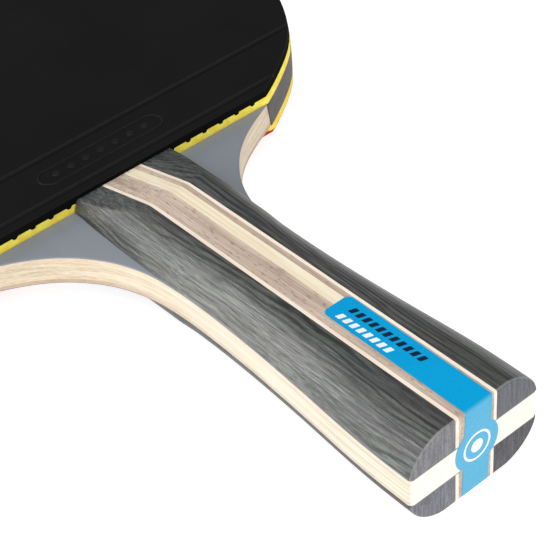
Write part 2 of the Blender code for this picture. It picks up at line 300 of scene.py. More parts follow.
# ------------------------------------------------------------------ materials
class Nodes:
    """Short hands for building a node tree."""

    def __init__(self, name):
        self.mat = bpy.data.materials.new(name)
        self.mat.use_nodes = True
        self.tree = self.mat.node_tree
        self.bsdf = self.tree.nodes["Principled BSDF"]
        self.coord = self.tree.nodes.new("ShaderNodeTexCoord").outputs["Object"]
        scaled = self.tree.nodes.new("ShaderNodeVectorMath")
        scaled.operation = 'SCALE'
        self.tree.links.new(self.coord, scaled.inputs[0])
        scaled.inputs["Scale"].default_value = 1000.0
        self.mm = scaled.outputs[0]

    def link(self, a, b):
        self.tree.links.new(a, b)

    def put(self, socket, value):
        if isinstance(value, bpy.types.NodeSocket):
            self.link(value, socket)
        elif isinstance(value, (tuple, list)) and len(value) == 3 and socket.type == 'RGBA':
            socket.default_value = (*value, 1.0)
        else:
            socket.default_value = value

    def vec(self, op, a, b=None, scale=None):
        n = self.tree.nodes.new("ShaderNodeVectorMath")
        n.operation = op
        self.put(n.inputs[0], a)
        if b is not None:
            self.put(n.inputs[1], b)
        if scale is not None:
            self.put(n.inputs["Scale"], scale)
        return n.outputs["Value"] if op in ('DOT_PRODUCT', 'LENGTH', 'DISTANCE') else n.outputs[0]

    def math(self, op, a, b=0.0, c=0.0, clamp=False):
        n = self.tree.nodes.new("ShaderNodeMath")
        n.operation = op
        n.use_clamp = clamp
        self.put(n.inputs[0], a)
        self.put(n.inputs[1], b)
        self.put(n.inputs[2], c)
        return n.outputs[0]

    def noise(self, vector, scale=1.0, detail=3.0, rough=0.55, distort=0.0, colour=False):
        n = self.tree.nodes.new("ShaderNodeTexNoise")
        self.put(n.inputs["Vector"], vector)
        self.put(n.inputs["Scale"], scale)
        self.put(n.inputs["Detail"], detail)
        self.put(n.inputs["Roughness"], rough)
        self.put(n.inputs["Distortion"], distort)
        return n.outputs["Color"] if colour else n.outputs[0]

    def voronoi(self, vector, scale=1.0, feature='F1', randomness=1.0):
        n = self.tree.nodes.new("ShaderNodeTexVoronoi")
        n.feature = feature
        self.put(n.inputs["Vector"], vector)
        self.put(n.inputs["Scale"], scale)
        self.put(n.inputs["Randomness"], randomness)
        return n.outputs["Distance"]

    def ramp(self, value, stops, mode='LINEAR'):
        n = self.tree.nodes.new("ShaderNodeValToRGB")
        n.color_ramp.interpolation = mode
        e = n.color_ramp.elements
        e[0].position, e[0].color = stops[0][0], self.rgba(stops[0][1])
        e[1].position, e[1].color = stops[-1][0], self.rgba(stops[-1][1])
        for pos, col in stops[1:-1]:
            s = e.new(pos)
            s.color = self.rgba(col)
        self.put(n.inputs[0], value)
        return n.outputs[0]

    @staticmethod
    def rgba(c):
        return (c, c, c, 1.0) if isinstance(c, (int, float)) else (*c, 1.0)

    def span(self, value, lo, hi, to_lo=0.0, to_hi=1.0):
        n = self.tree.nodes.new("ShaderNodeMapRange")
        n.clamp = True
        self.put(n.inputs["Value"], value)
        self.put(n.inputs["From Min"], lo)
        self.put(n.inputs["From Max"], hi)
        self.put(n.inputs["To Min"], to_lo)
        self.put(n.inputs["To Max"], to_hi)
        return n.outputs[0]

    def mix(self, factor, a, b, mode='MIX'):
        n = self.tree.nodes.new("ShaderNodeMix")
        n.data_type = 'RGBA'
        n.blend_type = mode
        self.put(n.inputs[0], factor)
        self.put(n.inputs[6], a)
        self.put(n.inputs[7], b)
        return n.outputs[2]

    def split(self, vector):
        n = self.tree.nodes.new("ShaderNodeSeparateXYZ")
        self.put(n.inputs[0], vector)
        return n.outputs[0], n.outputs[1], n.outputs[2]

    def join(self, x, y, z):
        n = self.tree.nodes.new("ShaderNodeCombineXYZ")
        self.put(n.inputs[0], x)
        self.put(n.inputs[1], y)
        self.put(n.inputs[2], z)
        return n.outputs[0]

    def bump(self, height, strength, distance_mm):
        n = self.tree.nodes.new("ShaderNodeBump")
        self.put(n.inputs["Strength"], strength)
        self.put(n.inputs["Distance"], distance_mm * MM)
        self.put(n.inputs["Height"], height)
        self.link(n.outputs[0], self.bsdf.inputs["Normal"])

    def finish(self, colour, roughness, specular=0.5, **others):
        self.put(self.bsdf.inputs["Base Color"], colour)
        self.put(self.bsdf.inputs["Roughness"], roughness)
        self.put(self.bsdf.inputs["Specular IOR Level"], specular)
        for key, value in others.items():
            self.put(self.bsdf.inputs[key.replace("_", " ")], value)
        if not isinstance(colour, bpy.types.NodeSocket):
            self.mat.diffuse_color = (*colour, 1.0)
        return self.mat


def wood(name, dark, mid, light, fleck, seed, fibre=(2.6, 0.06, 1.3), band=(0.45, 0.012, 0.22),
         fleck_size=(3.4, 0.40, 3.0), fleck_from=0.66, fleck_amount=0.6, band_share=0.45,
         roughness=0.5, specular=0.4, bump=0.5, bump_mm=0.03, warp=0.8, butt=None, tanned=None, contrast=1.0):
    """Straight-grained wood with the grain along y."""
    n = Nodes(name)
    moved = n.vec('ADD', n.mm, (seed * 13.7, seed * 31.1, seed * 5.3))
    wave = n.vec('SUBTRACT', n.noise(n.vec('MULTIPLY', moved, (0.05, 0.02, 0.05)), 1.0, 2.0, colour=True),
                 (0.5, 0.5, 0.5))
    warped = n.vec('ADD', moved, n.vec('MULTIPLY', wave, (warp * 2.2, 0.0, warp * 2.2)))
    f = n.noise(n.vec('MULTIPLY', warped, fibre), 1.0, 5.0, 0.62)
    b = n.noise(n.vec('MULTIPLY', warped, band), 1.0, 2.0, 0.5)
    p = n.noise(n.vec('MULTIPLY', warped, fleck_size), 1.0, 1.5, 0.5)
    tone = n.math('ADD', n.math('MULTIPLY', f, 1.0 - band_share), n.math('MULTIPLY', b, band_share))
    colour = n.ramp(tone, [(0.5 - 0.2 / contrast, dark), (0.50, mid), (0.5 + 0.2 / contrast, light)])
    mask = n.span(p, fleck_from, fleck_from + 0.08, 0.0, fleck_amount)
    colour = n.mix(mask, colour, fleck)
    if tanned:
        # the edge grows tanner from the handle towards the shoulders
        y = n.split(n.mm)[1]
        colour = n.mix(n.span(y, Y0 + 55.0, Y0 + 88.0), colour, n.mix(1.0, colour, tanned, 'MULTIPLY'))
    if butt:
        # the sanded end grain of the butt is finer, and painted paler: painted light on the butt face
        y = n.split(n.mm)[1]
        fine = n.noise(n.vec('MULTIPLY', moved, (0.7, 0.3, 4.5)), 1.0, 4.0, 0.6)
        colour = n.mix(n.span(y, Y0 + 0.05, Y0 + 0.5, 1.0, 0.0), colour,
                       n.ramp(fine, [(0.36, butt[0]), (0.62, butt[1])]))
    height = n.math('SUBTRACT', n.math('MULTIPLY', f, 1.0), n.math('MULTIPLY', mask, 0.5))
    n.bump(height, bump, bump_mm)
    rough = n.span(tone, 0.3, 0.7, roughness + 0.08, roughness - 0.05)
    return n.finish(colour, rough, specular)


def dyed_wood(name, seed, end_dark, end_light, level=1.0):
    """Dark dyed wood: fine pores, paler fibres and long drifting growth lines
    along the handle; upright growth layers on the end grain of the butt."""
    n = Nodes(name)
    moved = n.vec('ADD', n.mm, (seed * 11.9, seed * 23.3, seed * 3.7))
    wave = n.vec('SUBTRACT', n.noise(n.vec('MULTIPLY', moved, (0.06, 0.018, 0.06)), 1.0, 2.0, colour=True),
                 (0.5, 0.5, 0.5))
    warped = n.vec('ADD', moved, n.vec('MULTIPLY', wave, (3.0, 0.0, 3.0)))
    fine = n.noise(n.vec('MULTIPLY', warped, (6.5, 0.16, 4.0)), 1.0, 5.0, 0.66)
    broad = n.noise(n.vec('MULTIPLY', warped, (1.5, 0.022, 1.0)), 1.0, 3.0, 0.55)
    slow = n.noise(n.vec('MULTIPLY', warped, (0.16, 0.012, 0.12)), 1.0, 2.0, 0.5)
    pores = n.noise(n.vec('MULTIPLY', warped, (3.6, 0.42, 3.0)), 1.0, 3.0, 0.6)
    speckle = n.noise(n.vec('MULTIPLY', moved, (5.0, 1.7, 5.0)), 1.0, 3.0, 0.7)
    tone = n.math('ADD', n.math('ADD', n.math('MULTIPLY', fine, 0.46), n.math('MULTIPLY', broad, 0.26)),
                  n.math('ADD', n.math('MULTIPLY', slow, 0.14), n.math('MULTIPLY', speckle, 0.14)))
    # level scales all the colours down; the lower blocks' copies are darkened this way as painted shade
    k = level
    colour = n.ramp(tone, [(0.38, (0.012 * k, 0.013 * k, 0.013 * k)),
                           (0.46, (0.040 * k, 0.043 * k, 0.043 * k)),
                           (0.53, (0.098 * k, 0.104 * k, 0.099 * k)),
                           (0.61, (0.200 * k, 0.208 * k, 0.190 * k))])
    tint = n.noise(n.vec('MULTIPLY', moved, (0.22, 0.05, 0.22)), 1.0, 2.0, colour=True)
    colour = n.mix(0.16, colour, tint, 'SOFT_LIGHT')
    mask = n.span(pores, 0.58, 0.68, 0.0, 0.75)
    colour = n.mix(mask, colour, (0.012 * k, 0.012 * k, 0.013 * k))
    # growth lines, about one millimetre apart, that drift and fade
    xx, yy, zz = n.split(n.mm)
    across = n.math('ADD', n.math('MULTIPLY', n.math('ABSOLUTE', xx), 0.80), n.math('MULTIPLY', zz, -0.85))
    bend = n.noise(n.vec('MULTIPLY', moved, (0.05, 0.020, 0.05)), 1.0, 2.0, 0.5)
    jitter = n.noise(n.vec('MULTIPLY', moved, (0.8, 0.05, 0.8)), 1.0, 2.0, 0.5)
    phase = n.math('ADD', n.math('MULTIPLY', across, 0.86),
                   n.math('ADD', n.math('MULTIPLY', bend, 9.0), n.math('MULTIPLY', jitter, 1.5)))
    swell = n.math('SINE', n.math('MULTIPLY', phase, 2 * math.pi))
    fade = n.span(n.noise(n.vec('MULTIPLY', moved, (0.35, 0.03, 0.35)), 1.0, 2.0, 0.5), 0.38, 0.60, 0.25, 1.0)
    line = n.math('MULTIPLY', n.span(swell, 0.40, 1.0, 0.0, 0.85), fade)
    colour = n.mix(line, colour, (0.012 * k, 0.012 * k, 0.013 * k))
    glow = n.math('MULTIPLY', n.span(swell, -1.0, -0.35, 0.30, 0.0), fade)
    colour = n.mix(glow, colour, (0.22 * k, 0.23 * k, 0.205 * k))
    # painted shade: the flat crowns are painted darker than the flanks, most of all near the butt
    crown = n.math('MULTIPLY', n.span(n.math('ABSOLUTE', n.math('SUBTRACT', zz, Z0)), 9.8, 10.3, 0.0, 0.30),
                   n.span(yy, Y0 + 14.0, Y0 + 36.0, 1.0, 0.35))
    colour = n.mix(crown, colour, (0.018 * k, 0.018 * k, 0.019 * k))
    # painted sheen: the middle of the flanks is painted paler
    low = n.span(n.math('ABSOLUTE', n.math('SUBTRACT', zz, Z0)), 8.6, 10.1, 1.0, 0.0)
    along = n.math('MULTIPLY', n.span(yy, Y0 + 8.0, Y0 + 34.0), n.span(yy, Y0 + 62.0, Y0 + 84.0, 1.0, 0.0))
    painted_flank_sheen = n.math('MULTIPLY', n.math('MULTIPLY', low, along), n.span(fine, 0.35, 0.62, 0.05, 0.45))
    colour = n.mix(painted_flank_sheen, colour, (0.34 * k, 0.35 * k, 0.32 * k))
    # end grain on the butt, and a paler rim round it: sanding wear together with a painted highlight of the rounded
    # edge
    y = n.split(n.mm)[1]
    end = n.span(y, Y0 + 0.06, Y0 + 0.30, 1.0, 0.0)
    streak = n.noise(n.vec('MULTIPLY', moved, (2.4, 0.3, 0.20)), 1.0, 4.0, 0.6)
    speck = n.noise(n.vec('MULTIPLY', moved, (4.2, 0.5, 2.4)), 1.0, 3.0, 0.7)
    grain = n.ramp(n.math('ADD', n.math('MULTIPLY', streak, 0.55), n.math('MULTIPLY', speck, 0.45)),
                   [(0.38, end_dark), (0.62, end_light)])
    colour = n.mix(end, colour, grain)
    rim_wear_and_highlight = n.math('MULTIPLY', n.span(y, Y0 + 0.03, Y0 + 0.12, 0.0, 1.0), n.span(y, Y0 + 0.26, Y0 + 0.50, 1.0, 0.0))
    colour = n.mix(n.math('MULTIPLY', rim_wear_and_highlight, n.span(streak, 0.3, 0.7, 0.35, 0.75)), colour, (0.30, 0.30, 0.30))
    height = n.math('SUBTRACT', n.math('ADD', n.math('MULTIPLY', fine, 0.6), n.math('MULTIPLY', broad, 0.6)),
                    n.math('ADD', n.math('MULTIPLY', mask, 0.6), n.math('MULTIPLY', line, 0.5)))
    n.bump(height, 0.55, 0.05)
    rough = n.span(tone, 0.35, 0.65, 0.50, 0.36)
    return n.finish(colour, rough, 0.62 if level > 0.5 else 0.25)


def hex_dots(n, pitch):
    """A smooth pattern of round dots on a hexagonal lattice, from 0 to 1."""
    k = 2 * math.pi / (pitch * math.sqrt(3) / 2)
    total = None
    for degrees in (0.0, 60.0, 120.0):
        a = math.radians(degrees)
        d = n.vec('DOT_PRODUCT', n.mm, (math.cos(a) * k, math.sin(a) * k, 0.0))
        c = n.math('COSINE', d)
        total = c if total is None else n.math('ADD', total, c)
    return n.span(total, -1.5, 3.0)


def rubber(name, base, shade, roughness, specular, speck, highlight_tint):
    """Rubber with its inner pimples faintly read through the face; the raised moulded lines and the raised mark are
    painted paler, a painted highlight, the groove before each line is painted darker, a painted shade, and the cut side
    walls are dull."""
    n = Nodes(name)
    slow = n.noise(n.mm, 0.05, 3.0, 0.6)
    grain = n.noise(n.mm, 3.2, 3.0, 0.65)
    colour = n.mix(n.span(slow, 0.35, 0.65), shade, base)
    dust = n.span(n.noise(n.mm, 2.2, 1.0, 0.4), 0.735, 0.76, 0.0, 0.5)
    colour = n.mix(dust, colour, speck)
    x, y, z = n.split(n.mm)
    broken = n.span(n.noise(n.mm, 1.1, 3.0, 0.6), 0.35, 0.62, 0.45, 1.0)
    high = n.math('ABSOLUTE', n.math('SUBTRACT', z, Z0))
    # Each moulded line: a painted highlight along its bead and painted shade in the groove just before it.
    for peak in (103.10, 115.75):
        near = n.math('ABSOLUTE', n.math('SUBTRACT', y, Y0 + peak))
        colour = n.mix(n.math('MULTIPLY', n.span(near, 0.10, 0.50, 1.0, 0.0), broken), colour, highlight_tint)
        trough = n.math('ABSOLUTE', n.math('SUBTRACT', y, Y0 + peak - 0.97))
        colour = n.mix(n.span(trough, 0.10, 0.45, 0.35, 0.0), colour, tuple(0.4 * c for c in shade))
    # The raised mark is painted paler as well: painted highlight.
    raised = n.span(high, SHEET_Z1 + 0.05, SHEET_Z1 + 0.12, 0.0, 0.8)
    colour = n.mix(n.math('MULTIPLY', raised, broken), colour, highlight_tint)
    wall = n.span(high, SHEET_Z1 - 0.20, SHEET_Z1 - 0.06, 1.0, 0.0)
    dots = hex_dots(n, 2.57)
    height = n.math('ADD', n.math('MULTIPLY', grain, 0.35), n.math('MULTIPLY', dots, 0.10))
    n.bump(height, 0.35, 0.02)
    rough = n.math('ADD', n.span(grain, 0.3, 0.7, roughness - 0.04, roughness + 0.05),
                   n.span(slow, 0.3, 0.7, -0.012, 0.012))
    rough = n.math('ADD', rough, n.math('MULTIPLY', wall, 0.35))
    return n.finish(colour, rough, n.span(wall, 0.0, 1.0, specular, specular * 0.15))


def sponge_material(name):
    n = Nodes(name)
    cells = n.voronoi(n.mm, 4.2)
    tone = n.noise(n.mm, 0.6, 4.0, 0.6)
    fine = n.noise(n.mm, 6.0, 2.0, 0.6)
    colour = n.ramp(tone, [(0.32, (0.95, 0.70, 0.070)), (0.5, (0.99, 0.82, 0.105)), (0.68, (1.0, 0.91, 0.18))])
    pit = n.span(cells, 0.0, 0.30, 0.25, 0.0)
    colour = n.mix(pit, colour, (0.70, 0.42, 0.02))
    # painted shade: the sponge is painted darker and more orange towards its glue side, where it meets the blade
    z = n.split(n.mm)[2]
    low = n.span(z, Z0 + SPONGE_Z0, Z0 + SPONGE_Z0 + 0.7, 0.30, 0.0)
    colour = n.mix(low, colour, (0.85, 0.50, 0.03))
    n.bump(n.math('ADD', n.math('MULTIPLY', cells, 0.8), n.math('MULTIPLY', fine, 0.4)), 0.5, 0.08)
    return n.finish(colour, n.span(fine, 0.3, 0.7, 0.82, 0.95), 0.2,
                    Subsurface_Weight=0.12, Subsurface_Scale=0.0015, Subsurface_Radius=(1.0, 0.7, 0.2))


def tape_material():
    n = Nodes("edge_tape_cloth")
    x, y, z = n.split(n.mm)
    weft = n.math('SINE', n.math('MULTIPLY', z, 2 * math.pi / 0.42))
    tone = n.noise(n.mm, 0.35, 3.0, 0.6)
    thread = n.noise(n.vec('MULTIPLY', n.mm, (3.0, 3.0, 0.8)), 1.0, 3.0, 0.6)
    colour = n.ramp(tone, [(0.35, (0.060, 0.053, 0.058)), (0.5, (0.078, 0.069, 0.074)), (0.65, (0.096, 0.088, 0.086))])
    colour = n.mix(n.span(thread, 0.35, 0.7, 0.0, 0.35), colour, (0.14, 0.132, 0.125))
    height = n.math('ADD', n.math('MULTIPLY', weft, 0.25), n.math('MULTIPLY', thread, 0.8))
    n.bump(height, 0.5, 0.03)
    return n.finish(colour, n.span(thread, 0.3, 0.7, 0.55, 0.72), 0.35)


def film(name, colour, deep, roughness=0.26, painted_sheen=None):
    n = Nodes(name)
    slow = n.noise(n.mm, 0.07, 2.0, 0.5)
    grain = n.noise(n.mm, 5.0, 2.0, 0.6)
    base = n.mix(n.span(slow, 0.35, 0.65, 0.0, 0.7), colour, deep)
    if painted_sheen:
        # painted sheen: the film down the end of the handle is painted paler and whiter
        y = n.split(n.mm)[1]
        base = n.mix(n.span(y, Y0 - 0.02, Y0 + 0.45, 1.0, 0.0), base, painted_sheen)
    n.bump(n.math('ADD', n.math('MULTIPLY', slow, 1.0), n.math('MULTIPLY', grain, 0.06)), 0.3, 0.05)
    return n.finish(base, n.span(grain, 0.3, 0.7, roughness - 0.04, roughness + 0.07), 0.18)


LIT_BUTT_CREAM = ((0.90, 0.84, 0.70), (0.97, 0.95, 0.87))
M_CORE = wood("core_wood", (0.60, 0.49, 0.355), (0.755, 0.665, 0.53), (0.85, 0.79, 0.675), (0.56, 0.43, 0.30), 1.0,
              fibre=(0.9, 0.045, 3.6), band=(0.10, 0.010, 1.5), fleck_from=0.68, fleck_amount=0.35,
              band_share=0.5, roughness=0.55, bump=0.4, butt=LIT_BUTT_CREAM, tanned=(0.92, 0.86, 0.80), contrast=1.5)
M_INNER = wood("inner_ply_wood", (0.63, 0.51, 0.375), (0.76, 0.665, 0.525), (0.84, 0.775, 0.66), (0.56, 0.43, 0.30), 2.0,
               fibre=(0.10, 1.8, 3.0), band=(0.05, 0.3, 1.6), fleck_size=(0.5, 3.0, 3.0), fleck_from=0.68,
               fleck_amount=0.35, roughness=0.55, bump=0.4, butt=LIT_BUTT_CREAM, tanned=(0.94, 0.87, 0.80))
M_INNER_LOW = wood("inner_ply_wood_low", (0.54, 0.41, 0.29), (0.66, 0.54, 0.41), (0.76, 0.66, 0.53),
                   (0.54, 0.39, 0.26), 3.0, fibre=(0.10, 1.8, 3.0), band=(0.05, 0.3, 1.6), fleck_size=(0.5, 3.0, 3.0),
                   fleck_from=0.68, fleck_amount=0.35, roughness=0.55, bump=0.4, butt=LIT_BUTT_CREAM,
                   tanned=(0.82, 0.75, 0.68))
M_FACE = wood("face_ply_grey", (0.222, 0.242, 0.276), (0.238, 0.258, 0.292), (0.252, 0.272, 0.306),
              (0.18, 0.195, 0.225), 4.0, fibre=(2.4, 0.05, 1.0), band=(0.20, 0.010, 0.1), fleck_from=0.70,
              fleck_amount=0.30, roughness=0.42, specular=0.45, bump=0.30, bump_mm=0.015)
# Copies of one dyed wood: c and d, for the lower blocks, are darkened to level 0.40 as painted shade; b is a little
# darker at 0.86.
M_DARK = [dyed_wood("dyed_wood_dark", 1.0, (0.075, 0.074, 0.084), (0.240, 0.236, 0.258)),
          dyed_wood("dyed_wood_dark_b", 2.0, (0.026, 0.027, 0.034), (0.125, 0.132, 0.155), 0.86),
          dyed_wood("dyed_wood_dark_c", 3.0, (0.070, 0.070, 0.084), (0.225, 0.225, 0.255), 0.40),
          dyed_wood("dyed_wood_dark_d", 4.0, (0.024, 0.024, 0.028), (0.115, 0.115, 0.128), 0.40)]
M_VENEER = wood("strip_veneer", (0.84, 0.68, 0.53), (0.95, 0.84, 0.71), (0.97, 0.90, 0.79), (0.76, 0.57, 0.42), 5.0,
                fleck_amount=0.3, roughness=0.5, bump=0.35)
M_MAUVE = wood("strip_mauve", (0.40, 0.305, 0.245), (0.575, 0.450, 0.358), (0.72, 0.600, 0.495), (0.25, 0.17, 0.135), 6.0,
               fibre=(3.2, 0.07, 1.5), band=(0.7, 0.015, 0.3), fleck_size=(3.2, 0.55, 3.0), fleck_from=0.61,
               fleck_amount=0.70, roughness=0.5, contrast=1.7)
M_CREAM = wood("strip_cream", (0.82, 0.68, 0.46), (0.93, 0.82, 0.62), (0.96, 0.89, 0.73), (0.70, 0.54, 0.34), 7.0,
               fibre=(3.0, 0.06, 1.4), band=(1.1, 0.012, 0.4), fleck_amount=0.35, roughness=0.5, contrast=1.4)
M_TAN = wood("strip_tan", (0.72, 0.57, 0.37), (0.83, 0.70, 0.50), (0.88, 0.77, 0.58), (0.55, 0.40, 0.24), 8.0,
             fleck_amount=0.4, roughness=0.5)
M_BROWN = wood("strip_brown", (0.40, 0.30, 0.225), (0.57, 0.44, 0.335), (0.68, 0.55, 0.43), (0.26, 0.175, 0.12), 9.0,
               fibre=(3.2, 0.07, 1.5), band=(0.9, 0.015, 0.3), fleck_size=(3.4, 0.5, 3.0), fleck_from=0.62,
               fleck_amount=0.6, roughness=0.5, contrast=1.6)
M_BLACK = rubber("rubber_black", (0.0058, 0.0058, 0.0059), (0.0044, 0.0044, 0.0046), 0.50, 0.15, (0.02, 0.02, 0.02),
                 (0.0125, 0.0125, 0.0125))
M_RED = rubber("rubber_red", (0.52, 0.030, 0.032), (0.49, 0.027, 0.030), 0.45, 0.30, (0.60, 0.10, 0.09),
               (0.62, 0.055, 0.055))
M_SPONGE = sponge_material("sponge_yellow")
M_TAPE = tape_material()
M_LABEL = film("label_film_blue", (0.0, 0.350, 0.700), (0.0, 0.325, 0.660), painted_sheen=(0.085, 0.42, 0.66))
M_NAVY = film("label_ink_navy", (0.006, 0.020, 0.055), (0.004, 0.014, 0.042), 0.34)
M_WHITE = film("label_ink_white", (0.88, 0.93, 0.96), (0.82, 0.89, 0.94), 0.34)


# ------------------------------------------------------------------ blade plies
def blade_step(p):
    if p[1] < 60.0:
        return 2.0
    if p[1] < 122.0:
        return 0.6
    return 1.8


BLADE_HALF = resample(DENSE, blade_step)


def blade_half():
    """Right half with the small corner radius at the butt."""
    w, r = BLADE_HALF[0][0], 0.9
    corner = []
    for k in range(8):
        a = math.radians(-90.0 + 90.0 / 7 * k)
        corner.append((w - r + r * math.cos(a), r + r * math.sin(a)))
    return corner + [p for p in BLADE_HALF[1:] if p[1] > r + 0.3]


PLY_LINE = blade_half()


def sand_radius(y):
    """The blade's bare edge is sanded round at the neck and shoulders."""
    return 0.05 + 0.40 * smooth_step(60.0, 76.0, y) - 0.33 * smooth_step(98.5, 100.6, y)


def ply(name, z0, z1, rows, mat, node):
    """rows is how many levels the side has; |z| near FACE_Z1 is rounded."""
    rings = []
    for i in range(rows):
        z = z0 + (z1 - z0) * i / (rows - 1)
        height = abs(z)

        def inset(y):
            r = sand_radius(y) if z > 0 else min(sand_radius(y), 0.10)
            over = height - (FACE_Z1 - r)
            if over <= 0:
                return 0.0
            return -(r - math.sqrt(max(r * r - over * over, 0.0)))
        line = offset(PLY_LINE, inset)
        rings.append([(x, y, z) for x, y in mirror_close(line)])
    bm = bmesh.new()
    stack(bm, rings)
    return new_object(name, bm, mat, (node,), 40)


ply("core_ply", -CORE_HALF, CORE_HALF, 2, M_CORE, "blade_core_ply")
ply("inner_ply_top", INNER_Z0, INNER_Z1, 5, M_INNER, "blade_inner_ply_upper")
ply("inner_ply_bottom", -INNER_Z1, -INNER_Z0, 5, M_INNER_LOW, "blade_inner_ply_lower")
ply("face_ply_top", FACE_Z0, FACE_Z1, 6, M_FACE, "blade_face_ply_upper")
ply("face_ply_bottom", -FACE_Z1, -FACE_Z0, 6, M_FACE, "blade_face_ply_lower")


# ------------------------------------------------------------------ edge tape
def edge_tape():
    inner = half_above(TAPE_END_UPPER, GLUE, 1.2)
    full = mirror_close(inner)
    n = len(full)
    line = []
    for i, p in enumerate(full):
        a, b = full[max(i - 1, 0)], full[min(i + 1, n - 1)]
        dx, dy = b[0] - a[0], b[1] - a[1]
        d = math.hypot(dx, dy)
        line.append((p[0], p[1], dy / d, -dx / d, dx / d, dy / d))
    t = TAPE_OUT - GLUE
    h = FACE_Z1
    slant = (TAPE_END_LOWER - TAPE_END_UPPER) / (2 * h)
    bm = bmesh.new()
    profile = [(0.0, -h), (t * 0.55, -h), (t * 0.90, -h + 0.06)]
    for k in range(1, 8):
        z = -h + 2 * h * k / 8
        profile.append((t, z))
    profile += [(t * 0.90, h - 0.06), (t * 0.55, h), (0.0, h)]
    rows = []
    for i, (x, y, nx, ny, tx, ty) in enumerate(line):
        # the two ends are cut at a slant; the shift fades over a few rows
        ends = max(0.0, 1.0 - min(i, n - 1 - i) / 4.0)
        turn = 1.0 if i < n / 2 else -1.0
        ring = []
        for k, (d, z) in enumerate(profile):
            lift = d
            if 2 <= k <= len(profile) - 3:
                lift = d - 0.035 * (0.5 + 0.5 * wander(3, x, y, z, 0.35))
            slide = ends * slant * (h - z) / abs(line[0][5]) * turn
            ring.append(bm.verts.new(W(x + nx * lift + tx * slide, y + ny * lift + ty * slide, z)))
        rows.append(ring)
    m = len(profile)
    for a, b in zip(rows, rows[1:]):
        for k in range(m):
            j = (k + 1) % m
            bm.faces.new((a[k], a[j], b[j], b[k]))
    bm.faces.new(rows[0])
    bm.faces.new(list(reversed(rows[-1])))
    return new_object("edge_tape_band", bm, M_TAPE, ("edge_tape",), 40)


edge_tape()

# ------------------------------------------------------------------ rubbers
SHARES = fractions(half_above(HANDLE_LENGTH, TAPE_OUT, 0.7))
FRONT_COUNT = 96


def trim_line(trim):
    return half_above(trim[1], trim[0], 0.7)


def trim_ring(trim):
    """Closed outline of one trim: right side up to the tip, left side down,
    then along the straight front edge."""
    half = spread(trim_line(trim), SHARES)
    x0, y0 = half[0]
    ring = mirror_close(half)
    for k in range(1, FRONT_COUNT):
        ring.append((-x0 + 2 * x0 * k / FRONT_COUNT, y0))
    return ring


def outward(ring):
    n = len(ring)
    out = []
    for i, p in enumerate(ring):
        a, b = ring[i - 1], ring[(i + 1) % n]
        ux, uy = p[0] - a[0], p[1] - a[1]
        vx, vy = b[0] - p[0], b[1] - p[1]
        lu, lv = math.hypot(ux, uy), math.hypot(vx, vy)
        nx, ny = uy / lu + vy / lv, -ux / lu - vx / lv
        ln = math.hypot(nx, ny)
        out.append((nx / ln, ny / ln))
    return out


def between(a, b, t):
    return [(p[0] + (q[0] - p[0]) * t, p[1] + (q[1] - p[1]) * t) for p, q in zip(a, b)]


def sponge(name, side, trims, node):
    first, second = trim_ring(trims[0]), trim_ring(trims[1])
    normals = outward(first)
    z0, z1 = SPONGE_Z0, SPONGE_Z1
    levels = [(0.0, 0.07), (0.05, 0.0), (0.25, 0.0), (0.5, 0.0), (0.75, 0.0), (0.95, 0.0), (1.0, 0.05)]
    rings = []
    for share, inset in levels:
        z = z0 + (z1 - z0) * share
        ring = []
        for (x, y), (nx, ny) in zip(between(first, second, share), normals):
            d = -inset
            if 0.0 < share < 1.0:
                d -= 0.06 * (0.5 + 0.5 * wander(5 + side, x, y, z, 0.9))
            ring.append((x + nx * d, y + ny * d, side * z))
        rings.append(ring)
    bm = bmesh.new()
    stack(bm, rings if side > 0 else list(reversed(rings)))
    return new_object(name, bm, M_SPONGE, (node,), 50)


sponge("sponge_sheet_top", 1, TRIM_UPPER, "sponge_upper")
sponge("sponge_sheet_bottom", -1, TRIM_LOWER, "sponge_lower")


def ridge_height(y):
    """Two moulded lines: a shallow groove with a low bead behind it."""
    h = 0.0
    for dip, peak, deep, high in ((102.13, 103.10, 0.110, 0.150), (114.78, 115.75, 0.130, 0.150)):
        h -= deep * math.exp(-((y - dip) / 0.34) ** 2)
        h += high * math.exp(-((y - peak) / 0.36) ** 2)
    return h


